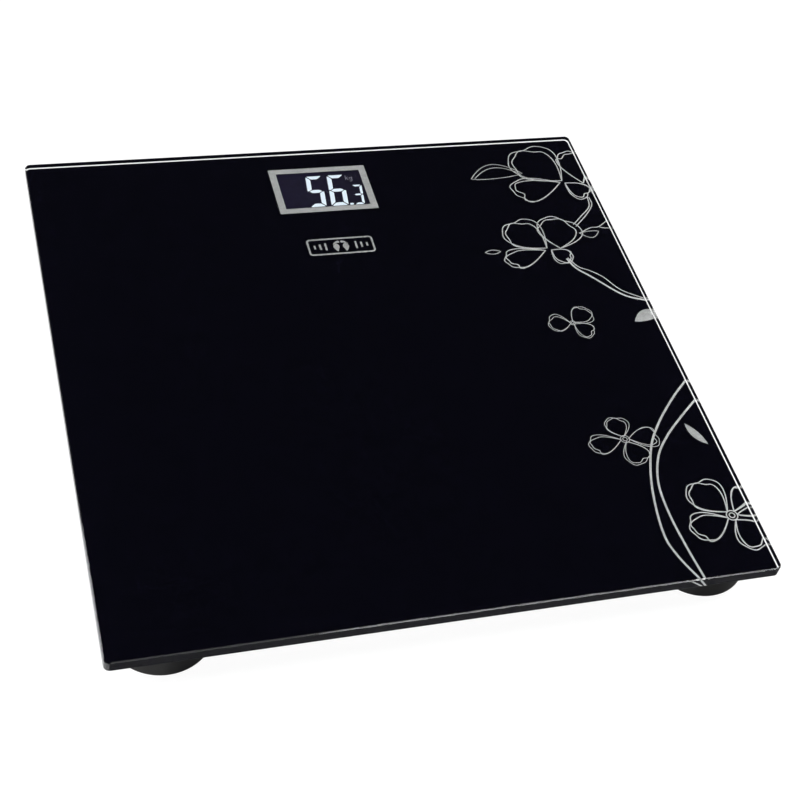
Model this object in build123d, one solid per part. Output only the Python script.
from build123d import *
from math import atan2, degrees, hypot, pi, radians, tan
import os

os.makedirs("parts", exist_ok=True)

# Millimetres. Origin on the floor under the centre of the platform.
# +X to the user's right, +Y to the display edge, +Z up.

# Platform
PLATE = 300.0
PLATE_T = 6.0
PLATE_CORNER_R = 2.8
PLATE_CHAMFER = 0.5
UNDERSIDE_Z = 17.0
PRINT_T = 0.15
PRINT_MARGIN = 0.55
TAPE_T = 0.5
PRINT_Z = UNDERSIDE_Z - PRINT_T
BOND_Z = PRINT_Z - TAPE_T

# Display window, in line with the module along Y
DISPLAY_Y = 121.0
WINDOW_X = 1.0
WINDOW_W = 45.4
WINDOW_D = 27.3
BORDER_W = 52.8
BORDER_D = 34.3

# Feet
FOOT_X = 123.0
FOOT_Y = 124.0
FOOT_R = 23.0
FOOT_BOTTOM_Z = 1.6
FOOT_EDGE_R = 2.0
FOOT_INNER_R = 21.0
LIP_R = 19.9
SHELF_R = 16.5
HOOK_R = 17.6
HOOK_W = 5.0
HOOK_T = 1.2
HOOK_GAP = 0.05
CELL_SIDE = 28.0
CELL_T = 1.5
CELL_TOP_Z = 15.5
CELL_CORNER_R = 3.0
SLOT = 1.4
TONGUE_W = 9.0
TONGUE_SLOT_L = 13.0
TONGUE_SLOT_X = 0.9
ARM_W = 20.0
ARM_SLOT_L = 20.0
ARM_SLOT_X = -0.6
CELL_HOLE_R = 1.0
CELL_HOLE_AT = 12.0
CARRIER_R = 19.5
FLANGE_R = 20.5
FLANGE_Z = 3.6
FLANGE_TOP_Z = 5.2
FOOT_PLAY = 0.4
BOSS_R = 4.0
CARRIER_RIB_T = 1.6
CARRIER_RIB_H = 3.0
TREAD_R = 19.0
TREAD_EDGE_R = 0.6
TREAD_GROOVE = 0.5
TREAD_GROOVE_W = 1.2
GAUGE_L = 9.0
GAUGE_W = 4.5
GAUGE_T = 1.25
GAUGE_CORNER_R = 1.5
GAUGE_EDGE_R = 0.4
GAUGE_FROM_EDGE = 0.2

# Leads
WIRE_R = 0.55
WIRE_PITCH = 1.35
WIRE_Z = PRINT_Z - 0.05 - WIRE_R
PORT_GAP = 0.3
LEAD_ENTRY_X = 33.0
LEAD_ENTRY_Y = -4.0
LEAD_COLOURS = ("red", "black", "white")
CLIP_L = 7.0
CLIP_WALL = 1.2
CLIP_WING = 3.0
CLIP_WING_T = 0.6

# Electronics module, measured from its own centre at (0, DISPLAY_Y)
MODULE_W = 104.0
MODULE_D = 46.0
MODULE_R = 6.0
MODULE_WALL = 1.8
COVER_Z = 5.0
COVER_T = 2.0
COVER_EDGE_R = 1.0
SPLIT_Z = 9.9
DECK_T = 1.45
LCD_W = 50.0
LCD_D = 31.0
LCD_T = 2.0
LCD_GAP = 0.2
LIGHT_W = 48.0
LIGHT_D = 26.0
ZEBRA_W = 42.0
ZEBRA_D = 2.2
PCB_W = 86.0
PCB_D = 38.0
PCB_T = 1.6
PCB_Z = 10.9
BOSS_X = 46.5
BOSS_Y = 17.5
BOSS_OUTER_R = 3.0
PILOT_R = 0.85
SCREW_CLEARANCE_R = 1.1
SCREW_HEAD_R = 1.95
HEAD_RECESS_R = 2.3
HEAD_RECESS_Z = 6.4
SCREW_TIP_Z = 13.4
SCREW_HEAD_Z = 5.2
CROSS_L = 2.2
CROSS_W = 0.44
CROSS_DEPTH = 0.7
POST_X = 41.5
POST_Y = 16.0
POST_R = 1.5
BOARD_HOLE_R = 0.6
BOARD_HOLE_AT = (30.0, 17.0)
LAMP_TAB_L = 3.0
CHIP_X = 6.0
CHIP_R = 6.0
CHIP_H = 1.5
CHIP_PART_L = 2.0
CHIP_PART_W = 1.2
CHIP_PART_T = 0.7
CHIP_PARTS_AT = ((-8, -12), (-4, -12), (0, -12), (16, -8), (16, -4), (16, 0), (20, 10), (-8, 12))
CRYSTAL_L = 8.0
CRYSTAL_W = 3.0
CRYSTAL_T = 2.2
CRYSTAL_AT = (6.0, 11.5)
SOLDER_PAD = 1.0

# Battery bay
CELL_BAY_X = -30.0
COIN_R = 10.0
COIN_T = 3.2
COIN_Z = 7.4
COIN_STEP = 0.5
COIN_CAP_R = 8.8
CONTACT_W = 5.0
POSITIVE_T = 0.3
POSITIVE_FOOT_L = 2.6
POSITIVE_GAP = 0.03
NEGATIVE_T = 0.2
NEGATIVE_L = 14.0
DIMPLE_R = 1.6
BAY_R = 10.3
BAY_WALL = 1.2
BAY_TOP_Z = 10.2
PAD_T = 1.0
DOOR_T = 1.4
DOOR_HALF_D = 11.8
DOOR_END_X = -17.7
DOOR_GAP = 0.3
HINGE_X = -44.0
HINGE_Z = 6.2
HINGE_R = 1.2
HINGE_PIN_R = 0.6
HINGE_BORE_R = 0.66
HINGE_PIN_L = 1.6
SCOOP_R = 5.5
SCOOP_FLATNESS = 0.2
DOOR_POST_R = 1.2
DOOR_POST_X = 4.5
DOOR_RING_R = 7.0
DOOR_RING_T = 1.2
GRIP_L = 5.5
GRIP_W = 0.6
GRIP_DEPTH = 0.35
GRIP_PITCH = 1.5

# Unit button and its switch
BUTTON_X = 32.0
BUTTON_R = 4.5
BUTTON_FACE_Z = 4.6
BUTTON_GAP = 0.3
BUTTON_TRAVEL = 0.5
BUTTON_FLANGE_R = 5.8
BUTTON_FLANGE_Z = 7.1
BUTTON_FLANGE_T = 0.8
SWITCH_SIDE = 6.0
SWITCH_Z = 9.1
PLUNGER_R = 1.5
PLUNGER_BORE_R = 1.6
PLUNGER_L = 1.6
BUTTON_STEM_R = 2.0
BUTTON_DISH_R = 12.0
BUTTON_DISH = 0.5

LIP_TOP_Z = FLANGE_Z - FOOT_PLAY - 0.05
COVER_TOP_Z = COVER_Z + COVER_T
DECK_Z = BOND_Z - DECK_T
LCD_Z = BOND_Z - LCD_T
PCB_TOP_Z = PCB_Z + PCB_T
LEAD_END_Z = PCB_TOP_Z + 0.05 + WIRE_R
PLUNGER_Z = SWITCH_Z - BUTTON_TRAVEL - 0.1

FEET = {
    "front_left": (-1, -1),
    "front_right": (1, -1),
    "rear_left": (-1, 1),
    "rear_right": (1, 1),
}

# Way out of each foot for its leads, as the foot's own +X turned by this many degrees
LEAD_TURN = {"front_left": 90, "front_right": 90, "rear_left": 0, "rear_right": 180}


def block(x0, x1, y0, y1, z0, z1):
    """Box between two corners."""
    centre = ((x0 + x1) / 2, (y0 + y1) / 2, (z0 + z1) / 2)
    return Pos(*centre) * Box(x1 - x0, y1 - y0, z1 - z0)


def slab(width, depth, radius, z0, z1):
    """Rounded rectangle centred on the axis, from z0 to z1."""
    return Pos(0, 0, z0) * extrude(RectangleRounded(width, depth, radius), z1 - z0)


def disc(radius, z0, z1, x=0.0, y=0.0):
    """Cylinder standing at x, y from z0 to z1."""
    return Pos(x, y, (z0 + z1) / 2) * Cylinder(radius, z1 - z0)


def tube(outer, inner, z0, z1, x=0.0, y=0.0):
    """Ring standing at x, y from z0 to z1."""
    return disc(outer, z0, z1, x, y) - disc(inner, z0 - 1, z1 + 1, x, y)


def corners(x, y):
    """Four places at plus and minus x and y."""
    return [(sx * x, sy * y) for sx in (-1, 1) for sy in (-1, 1)]


def save(shape, node):
    """Writes one node."""
    export_step(shape, f"parts/{node}.step")


def group(solids):
    """Several separate solids as one node."""
    return Compound(children=[s for shape in solids for s in shape.solids()])


# --- platform ---------------------------------------------------------------


def glass_platform():
    plate = slab(PLATE, PLATE, PLATE_CORNER_R, UNDERSIDE_Z, UNDERSIDE_Z + PLATE_T)
    rims = plate.faces().sort_by(Axis.Z)[0].edges() + plate.faces().sort_by(Axis.Z)[-1].edges()
    return chamfer(rims, PLATE_CHAMFER)


def back_print():
    side = PLATE - 2 * PRINT_MARGIN
    film = slab(side, side, PLATE_CORNER_R - PRINT_MARGIN, PRINT_Z, UNDERSIDE_Z)
    opening = Pos(WINDOW_X, DISPLAY_Y, PRINT_Z - 1) * extrude(Rectangle(BORDER_W, BORDER_D), PRINT_T + 2)
    return film - opening


def display_border():
    outline = Rectangle(BORDER_W, BORDER_D) - Rectangle(WINDOW_W, WINDOW_D)
    return Pos(WINDOW_X, DISPLAY_Y, PRINT_Z) * extrude(outline, PRINT_T)


# --- feet -------------------------------------------------------------------


def lead_notch():
    """Space that the three leads need through a foot's wall, along +X."""
    half = WIRE_PITCH + WIRE_R + PORT_GAP
    return block(SHELF_R - 1, FOOT_R + 1, -half, half, CELL_TOP_Z, PRINT_Z + 1)


def foot_tape():
    return tube(FOOT_R - 0.8, SHELF_R, BOND_Z, PRINT_Z) - lead_notch()


def foot_housing():
    """Ring wall with a shelf over the load cell, hooks under it and a lip at the bottom."""
    wall = disc(FOOT_R, FOOT_BOTTOM_Z, BOND_Z)
    wall = fillet(wall.faces().sort_by(Axis.Z)[0].edges(), FOOT_EDGE_R)
    wall -= disc(LIP_R, FOOT_BOTTOM_Z - 1, LIP_TOP_Z + 0.1)
    wall -= disc(FOOT_INNER_R, LIP_TOP_Z, CELL_TOP_Z)
    wall -= disc(SHELF_R, CELL_TOP_Z - 0.1, BOND_Z + 1)
    hook_top = CELL_TOP_Z - CELL_T - HOOK_GAP
    hook = block(HOOK_R, FOOT_INNER_R + 0.5, -HOOK_W / 2, HOOK_W / 2, hook_top - HOOK_T, hook_top)
    for turn in (45, 135, 225, 315):
        wall += Rot(0, 0, turn) * hook
    return wall - lead_notch()


def u_slot(width, length, mouth):
    """Plan of a U-shaped slot of that inner width, open towards +X or -X."""
    outer = Pos(mouth * SLOT / 2, 0) * Rectangle(length + SLOT, width + 2 * SLOT)
    inner = Pos(mouth * SLOT, 0) * Rectangle(length + 2 * SLOT, width)
    return outer - inner


def load_cell():
    """Steel bending plate: outer frame, two side arms and a centre tongue."""
    plan = RectangleRounded(CELL_SIDE, CELL_SIDE, CELL_CORNER_R)
    plan -= Pos(ARM_SLOT_X, 0) * u_slot(ARM_W, ARM_SLOT_L, 1)
    plan -= Pos(TONGUE_SLOT_X, 0) * u_slot(TONGUE_W, TONGUE_SLOT_L, -1)
    plate = Pos(0, 0, CELL_TOP_Z - CELL_T) * extrude(plan, CELL_T)
    for x, y in corners(CELL_HOLE_AT, CELL_HOLE_AT):
        plate -= disc(CELL_HOLE_R, CELL_TOP_Z - CELL_T - 1, CELL_TOP_Z + 1, x, y)
    return plate


def strain_gauge():
    """Gauge film under its bead of sealant, at the root of the side arms."""
    bead = slab(GAUGE_W, GAUGE_L, GAUGE_CORNER_R, CELL_TOP_Z, CELL_TOP_Z + GAUGE_T)
    bead = fillet(bead.faces().sort_by(Axis.Z)[-1].edges(), GAUGE_EDGE_R)
    return Pos(gauge_x(), 0, 0) * bead


def gauge_x():
    """Centre of the gauge, on the frame side that carries the arms."""
    return CELL_SIDE / 2 - GAUGE_W / 2 - GAUGE_FROM_EDGE


def foot_carrier():
    """Moving plate under the cell, with the boss that lifts the tongue."""
    body = disc(CARRIER_R, FOOT_BOTTOM_Z, FLANGE_Z) + disc(FLANGE_R, FLANGE_Z, FLANGE_TOP_Z)
    body += disc(BOSS_R, FLANGE_TOP_Z, CELL_TOP_Z - CELL_T)
    half = CARRIER_RIB_T / 2
    rib = block(0, FLANGE_R - 3, -half, half, FLANGE_TOP_Z, FLANGE_TOP_Z + CARRIER_RIB_H)
    for turn in range(0, 360, 60):
        body += Rot(0, 0, turn) * rib
    return body


def foot_tread():
    """Rubber disc with two ring grooves in its sole."""
    sole = disc(TREAD_R, 0, FOOT_BOTTOM_Z)
    sole = fillet(sole.faces().sort_by(Axis.Z)[0].edges(), TREAD_EDGE_R)
    for ring in (TREAD_R * 0.4, TREAD_R * 0.7):
        sole -= tube(ring + TREAD_GROOVE_W, ring, -1, TREAD_GROOVE)
    return sole


def place_foot(shape, name):
    x_sign, y_sign = FEET[name]
    return Pos(x_sign * FOOT_X, y_sign * FOOT_Y, 0) * Rot(0, 0, LEAD_TURN[name]) * shape


# --- leads ------------------------------------------------------------------


def front_route(x_sign):
    """Centre line of a front foot's leads, from the gauge to the circuit board."""
    start_y = -FOOT_Y + gauge_x() + GAUGE_W / 2
    entry = LEAD_ENTRY_X * x_sign
    front_wall = DISPLAY_Y - MODULE_D / 2
    return [
        (FOOT_X * x_sign, start_y, WIRE_Z),
        (FOOT_X * x_sign, start_y + 46, WIRE_Z),
        (112.0 * x_sign, -24.0, WIRE_Z),
        (84.0 * x_sign, 16.0, WIRE_Z),
        (47.0 * x_sign, 43.0, WIRE_Z),
        (entry, 66.0, WIRE_Z),
        (entry, front_wall - 16, WIRE_Z),
        (entry, front_wall - 7, LEAD_END_Z),
        (entry, front_wall + 7, LEAD_END_Z),
    ]


def rear_route(x_sign):
    """Centre line of a rear foot's leads."""
    start_x = FOOT_X - gauge_x() - GAUGE_W / 2
    side_wall = MODULE_W / 2
    entry_y = DISPLAY_Y + LEAD_ENTRY_Y
    return [
        (start_x * x_sign, FOOT_Y, WIRE_Z),
        (95.0 * x_sign, FOOT_Y, WIRE_Z),
        (84.0 * x_sign, entry_y, WIRE_Z),
        ((side_wall + 14) * x_sign, entry_y, WIRE_Z),
        ((side_wall + 6) * x_sign, entry_y, LEAD_END_Z),
        ((side_wall - 11) * x_sign, entry_y, LEAD_END_Z),
    ]


def offset_route(route, offset):
    """The same route moved sideways by offset, mitred at its corners, in plan."""
    moved = []
    for i, (x, y, z) in enumerate(route):
        before = route[max(i - 1, 0)]
        after = route[min(i + 1, len(route) - 1)]
        into = (x - before[0], y - before[1]) if i else None
        out = (after[0] - x, after[1] - y) if i < len(route) - 1 else None
        into, out = into or out, out or into
        normals = [(-d[1] / hypot(*d), d[0] / hypot(*d)) for d in (into, out)]
        mitre = (normals[0][0] + normals[1][0], normals[0][1] + normals[1][1])
        scale = 2 * offset / (mitre[0] ** 2 + mitre[1] ** 2)
        moved.append((x + mitre[0] * scale, y + mitre[1] * scale, z))
    return moved


def corner_radii(route, offset):
    """Arc radius at each corner: as large as the runs allow, side by side for three wires."""
    radii = []
    for a, b, c in zip(route, route[1:], route[2:]):
        into = Vector(*b) - Vector(*a)
        out = Vector(*c) - Vector(*b)
        turn = radians(into.get_angle(out))
        radius = 0.45 * min(into.length, out.length) / tan(turn / 2)
        cross = into.X * out.Y - into.Y * out.X
        flat = abs(into.Z) < 1e-9 and abs(out.Z) < 1e-9
        side = (-1 if cross > 0 else 1) if flat else 0
        radii.append(radius + side * offset)
    return radii


def wire(route, offset):
    """One insulated wire as a round tube."""
    points = offset_route(route, offset)
    path = FilletPolyline(*points, radius=corner_radii(route, offset))
    section = Plane(origin=path @ 0, z_dir=path % 0) * Circle(WIRE_R)
    return sweep(section, path), path


def routes():
    return {
        "front_left": front_route(-1),
        "front_right": front_route(1),
        "rear_left": rear_route(-1),
        "rear_right": rear_route(1),
    }


def wire_clip():
    """Saddle that carries three wires along X, bonded under the print."""
    half = WIRE_PITCH + WIRE_R + 0.15
    bottom = WIRE_Z - WIRE_R - 0.1
    outer = half + CLIP_WALL
    saddle = block(-CLIP_L / 2, CLIP_L / 2, -outer, outer, bottom - CLIP_WALL, PRINT_Z)
    saddle = fillet(saddle.faces().sort_by(Axis.Z)[0].edges(), 0.5)
    wing = outer + CLIP_WING
    wings = block(-CLIP_L / 2, CLIP_L / 2, -wing, wing, PRINT_Z - CLIP_WING_T, PRINT_Z)
    return saddle + wings - block(-CLIP_L, CLIP_L, -half, half, bottom, PRINT_Z + 1)


def wire_clips():
    """A clip at the middle of each long straight run."""
    clips = []
    for name, route in routes().items():
        places = ((0, 0.66), (2, 0.5), (4, 0.5)) if name.startswith("front") else ((2, 0.55),)
        for run, share in places:
            (x0, y0, _), (x1, y1, _) = route[run], route[run + 1]
            at = Pos(x0 + (x1 - x0) * share, y0 + (y1 - y0) * share, 0)
            clips.append(at * Rot(0, 0, degrees(atan2(y1 - y0, x1 - x0))) * wire_clip())
    return group(clips)


# --- electronics module -----------------------------------------------------


def at_module(shape):
    return Pos(0, DISPLAY_Y, 0) * shape


def module_tape():
    ring = slab(MODULE_W - 2, MODULE_D - 2, MODULE_R - 1, BOND_Z, PRINT_Z)
    return ring - slab(LCD_W + 3, LCD_D + 3, 1.0, BOND_Z - 1, PRINT_Z + 1)


def lead_ports():
    """Holes in the module frame for the leads, in the module's own place."""
    half = WIRE_PITCH + WIRE_R + PORT_GAP
    low = LEAD_END_Z - WIRE_R - PORT_GAP
    high = LEAD_END_Z + WIRE_R + PORT_GAP
    holes = []
    for side in (-1, 1):
        x, front = side * LEAD_ENTRY_X, -MODULE_D / 2
        holes.append(block(x - half, x + half, front - 1, front + 3, low, high))
        y, flank = LEAD_ENTRY_Y, side * MODULE_W / 2
        holes.append(block(flank - 3, flank + 3, y - half, y + half, low, high))
    return holes


def module_frame():
    """Upper half of the module: walls, deck round the display, screw bosses and board posts."""
    shell = slab(MODULE_W, MODULE_D, MODULE_R, SPLIT_Z, BOND_Z)
    inner_w, inner_d = MODULE_W - 2 * MODULE_WALL, MODULE_D - 2 * MODULE_WALL
    shell -= slab(inner_w, inner_d, MODULE_R - MODULE_WALL, SPLIT_Z - 1, DECK_Z)
    shell -= block(
        -LCD_W / 2 - LCD_GAP, LCD_W / 2 + LCD_GAP, -LCD_D / 2 - LCD_GAP, LCD_D / 2 + LCD_GAP,
        DECK_Z - 1, BOND_Z + 1,
    )
    for x, y in corners(BOSS_X, BOSS_Y):
        shell += disc(BOSS_OUTER_R, SPLIT_Z, DECK_Z + 0.1, x, y)
        shell -= disc(PILOT_R, SPLIT_Z - 1, SCREW_TIP_Z, x, y)
    for x, y in corners(POST_X, POST_Y):
        shell += disc(POST_R, PCB_TOP_Z, DECK_Z + 0.1, x, y)
    for hole in lead_ports():
        shell -= hole
    return shell


def lcd_panel():
    """Two glass plates with the lower one longer, so that its contacts show to the board."""
    lower = block(-LCD_W / 2, LCD_W / 2, -LCD_D / 2, LCD_D / 2, LCD_Z, LCD_Z + LCD_T / 2)
    upper = block(-LCD_W / 2, LCD_W / 2, -LCD_D / 2, LCD_D / 2 - 1.2, LCD_Z + LCD_T / 2, BOND_Z)
    return lower + upper


def lcd_backlight():
    """Light guide with the frosted face up and a tab for the lamp at one end."""
    plate = block(-LIGHT_W / 2, LIGHT_W / 2, -LIGHT_D / 2 - 1, LIGHT_D / 2 - 1, PCB_TOP_Z, LCD_Z)
    return plate + block(-LIGHT_W / 2 - LAMP_TAB_L, -LIGHT_W / 2, -6, 4, PCB_TOP_Z, LCD_Z - 0.3)


def zebra_strip():
    y = LIGHT_D / 2 - 1 + 0.4
    return block(-ZEBRA_W / 2, ZEBRA_W / 2, y, y + ZEBRA_D, PCB_TOP_Z, LCD_Z)


def main_pcb():
    board = slab(PCB_W, PCB_D, 1.0, PCB_Z, PCB_TOP_Z)
    x, y = BOARD_HOLE_AT
    for side in (-1, 1):
        board -= disc(BOARD_HOLE_R, PCB_Z - 1, PCB_TOP_Z + 1, side * x, y)
    return board


def controller_chip():
    """Epoxy blob over the bare die, under the board."""
    ball_r = (CHIP_R**2 + CHIP_H**2) / (2 * CHIP_H)
    ball = Pos(CHIP_X, 0, PCB_Z - CHIP_H + ball_r) * Sphere(ball_r)
    reach = CHIP_R + 2
    return ball & block(CHIP_X - reach, CHIP_X + reach, -reach, reach, PCB_Z - CHIP_H - 1, PCB_Z)


def pcb_parts():
    """Crystal and chip resistors and capacitors, under the board."""
    small = Pos(0, 0, PCB_Z - CHIP_PART_T / 2) * Box(CHIP_PART_L, CHIP_PART_W, CHIP_PART_T)
    solids = [Pos(x, y, 0) * small for x, y in CHIP_PARTS_AT]
    can = Pos(*CRYSTAL_AT, PCB_Z - CRYSTAL_T / 2) * Box(CRYSTAL_L, CRYSTAL_W, CRYSTAL_T)
    solids.append(fillet(can.edges().filter_by(Axis.X), CRYSTAL_T / 3))
    return group(solids)


def solder_joints():
    """A pad of solder at the end of each lead, on top of the board."""
    pads = []
    for route in routes().values():
        (x0, y0, _), (x1, y1, _) = route[-2], route[-1]
        length = hypot(x1 - x0, y1 - y0)
        along = ((x1 - x0) / length, (y1 - y0) / length)
        for step in (-1, 0, 1):
            x = x1 + along[0] * 0.7 - along[1] * WIRE_PITCH * step
            y = y1 + along[1] * 0.7 + along[0] * WIRE_PITCH * step
            half = SOLDER_PAD / 2
            pads.append(block(x - half, x + half, y - half, y + half, PCB_TOP_Z, LEAD_END_Z + 0.2))
    return group([Pos(0, -DISPLAY_Y, 0) * pad for pad in pads])


def unit_switch():
    half = SWITCH_SIDE / 2
    body = block(BUTTON_X - half, BUTTON_X + half, -half, half, SWITCH_Z, PCB_Z)
    body = chamfer(body.edges().filter_by(Axis.Z), 0.6)
    return body - disc(PLUNGER_BORE_R, SWITCH_Z - 1, PCB_Z - 0.2, BUTTON_X, 0)


def switch_plunger():
    return disc(PLUNGER_R, PLUNGER_Z, PLUNGER_Z + PLUNGER_L, BUTTON_X, 0)


def unit_button():
    """Round cap with a retaining flange and a stem to the switch plunger."""
    cap = disc(BUTTON_R, BUTTON_FACE_Z, BUTTON_FLANGE_Z + 0.1)
    cap = fillet(cap.faces().sort_by(Axis.Z)[0].edges(), 0.5)
    cap -= Pos(0, 0, BUTTON_FACE_Z + BUTTON_DISH - BUTTON_DISH_R) * Sphere(BUTTON_DISH_R)
    cap += disc(BUTTON_FLANGE_R, BUTTON_FLANGE_Z, BUTTON_FLANGE_Z + BUTTON_FLANGE_T)
    cap += disc(BUTTON_STEM_R, BUTTON_FLANGE_Z, PLUNGER_Z)
    return Pos(BUTTON_X, 0, 0) * cap


def battery_contact_positive():
    """Leaf that bears on the rim of the coin cell."""
    x = CELL_BAY_X + COIN_R + POSITIVE_GAP
    half = CONTACT_W / 2
    leaf = block(x, x + POSITIVE_T, -half, half, COIN_Z + 1, PCB_Z)
    return leaf + block(x, x + POSITIVE_FOOT_L, -half, half, PCB_Z - POSITIVE_T, PCB_Z)


def battery_contact_negative():
    """Strip with a raised dimple over the middle of the coin cell."""
    top = COIN_Z + COIN_T
    strip = Pos(CELL_BAY_X, 0, PCB_Z - NEGATIVE_T / 2) * Box(NEGATIVE_L, CONTACT_W, NEGATIVE_T)
    return strip + disc(DIMPLE_R, top, PCB_Z - NEGATIVE_T / 2, CELL_BAY_X, 0)


def coin_cell():
    """Coin cell: wide can with the smaller cap on its inner side."""
    step_z = COIN_Z + COIN_T - COIN_STEP
    can = disc(COIN_R, COIN_Z, step_z, CELL_BAY_X, 0)
    can = fillet(can.faces().sort_by(Axis.Z)[0].edges(), 0.4)
    return can + disc(COIN_CAP_R, step_z, COIN_Z + COIN_T, CELL_BAY_X, 0)


def door_opening():
    low = HINGE_X - HINGE_R - DOOR_GAP
    half = DOOR_HALF_D + DOOR_GAP
    return block(low, DOOR_END_X + DOOR_GAP, -half, half, COVER_Z - 1, COVER_TOP_Z)


def rear_cover():
    """Lower half of the module: floor, walls, battery bay, button hole and screw bosses."""
    shell = slab(MODULE_W, MODULE_D, MODULE_R, COVER_Z, SPLIT_Z)
    shell = fillet(shell.faces().sort_by(Axis.Z)[0].edges(), COVER_EDGE_R)
    inner_w, inner_d = MODULE_W - 2 * MODULE_WALL, MODULE_D - 2 * MODULE_WALL
    shell -= slab(inner_w, inner_d, MODULE_R - MODULE_WALL, COVER_TOP_Z, SPLIT_Z + 1)
    shell -= door_opening()
    pad_low = HINGE_X + HINGE_R + DOOR_GAP
    pad_half = DOOR_HALF_D + 2
    shell += block(pad_low, DOOR_END_X + 2, -pad_half, pad_half, COVER_TOP_Z, COVER_TOP_Z + PAD_T)
    shell += disc(BAY_R + BAY_WALL, COVER_TOP_Z, BAY_TOP_Z, CELL_BAY_X, 0)
    shell -= disc(BAY_R, COVER_Z, BAY_TOP_Z + 1, CELL_BAY_X, 0)
    slot_x = CELL_BAY_X + COIN_R
    slot_half = CONTACT_W / 2 + 0.7
    shell -= block(slot_x - 2, slot_x + 4, -slot_half, slot_half, COIN_Z + 0.7, BAY_TOP_Z + 1)
    shell -= disc(BUTTON_R + BUTTON_GAP, COVER_Z - 1, COVER_TOP_Z + 1, BUTTON_X, 0)
    for x, y in corners(BOSS_X, BOSS_Y):
        shell += disc(BOSS_OUTER_R, COVER_TOP_Z - 0.1, SPLIT_Z, x, y)
        shell -= disc(SCREW_CLEARANCE_R, COVER_Z - 1, SPLIT_Z + 1, x, y)
        shell -= disc(HEAD_RECESS_R, COVER_Z - 1, HEAD_RECESS_Z, x, y)
    for x, y in corners(POST_X, POST_Y):
        shell += disc(POST_R, COVER_TOP_Z - 0.1, PCB_Z, x, y)
    bore = Pos(HINGE_X, 0, HINGE_Z) * Rot(90, 0, 0) * Cylinder(HINGE_BORE_R, 2 * (DOOR_HALF_D + 2))
    shell -= bore
    scoop = scale(Sphere(SCOOP_R), by=(1, 1, SCOOP_FLATNESS))
    return shell - Pos(DOOR_END_X + DOOR_GAP, 0, COVER_Z) * scoop


def battery_door():
    """Flush lid with a full-length hinge barrel, stub pins and a pad that holds the cell."""
    lid = block(HINGE_X, DOOR_END_X, -DOOR_HALF_D, DOOR_HALF_D, COVER_Z, COVER_Z + DOOR_T)
    for half, radius in ((DOOR_HALF_D, HINGE_R), (DOOR_HALF_D + HINGE_PIN_L, HINGE_PIN_R)):
        lid += Pos(HINGE_X, 0, HINGE_Z) * Rot(90, 0, 0) * Cylinder(radius, 2 * half)
    inside, pad = COVER_Z + DOOR_T - 0.1, COIN_Z - 0.1
    for side in (-1, 1):
        lid += disc(DOOR_POST_R, inside, pad, CELL_BAY_X + side * DOOR_POST_X, 0)
    lid += tube(DOOR_RING_R, DOOR_RING_R - DOOR_RING_T, inside, pad, CELL_BAY_X, 0)
    grip = Box(GRIP_L, GRIP_W, 2 * GRIP_DEPTH)
    for step in range(-2, 3):
        lid -= Pos(DOOR_END_X - 1.5 - GRIP_L / 2, step * GRIP_PITCH, COVER_Z) * grip
    return lid


def module_screws():
    """Four self-tapping screws with crosshead recesses."""
    screws = []
    for x, y in corners(BOSS_X, BOSS_Y):
        screw = disc(SCREW_HEAD_R, SCREW_HEAD_Z, HEAD_RECESS_Z)
        screw += disc(PILOT_R, HEAD_RECESS_Z, SCREW_TIP_Z)
        screw = fillet(screw.faces().sort_by(Axis.Z)[0].edges(), 0.4)
        for turn in (20, 110):
            screw -= Pos(0, 0, SCREW_HEAD_Z) * Rot(0, 0, turn) * Box(CROSS_L, CROSS_W, 2 * CROSS_DEPTH)
        screws.append(Pos(x, y, 0) * screw)
    return group(screws)


# --- writing ----------------------------------------------------------------

save(glass_platform(), "glass_platform")
save(back_print(), "back_print")
save(display_border(), "display_border")

FOOT_PIECES = {
    "tape": foot_tape,
    "housing": foot_housing,
    "load_cell": load_cell,
    "strain_gauge": strain_gauge,
    "carrier": foot_carrier,
    "tread": foot_tread,
}
for piece, make in FOOT_PIECES.items():
    shape = make()
    for foot in FEET:
        save(place_foot(shape, foot), f"foot_{foot}_{piece}")

for foot, route in routes().items():
    print(foot, "lead radii", [round(r, 1) for r in corner_radii(route, 0)])
    for step, colour in zip((-1, 0, 1), LEAD_COLOURS):
        solid, path = wire(route, step * WIRE_PITCH)
        expected = pi * WIRE_R**2 * path.length
        share = round(solid.volume / expected, 4)
        print(" ", colour, round(path.length, 1), "mm, volume over section x length", share)
        save(solid, f"lead_{foot}_{colour}")
save(wire_clips(), "wire_clips")

MODULE_PIECES = (
    module_tape, module_frame, lcd_panel, lcd_backlight, zebra_strip, main_pcb, controller_chip,
    pcb_parts, solder_joints, unit_switch, switch_plunger, unit_button, battery_contact_positive,
    battery_contact_negative, coin_cell, rear_cover, battery_door, module_screws,
)
for make in MODULE_PIECES:
    save(at_module(make()), make.__name__)
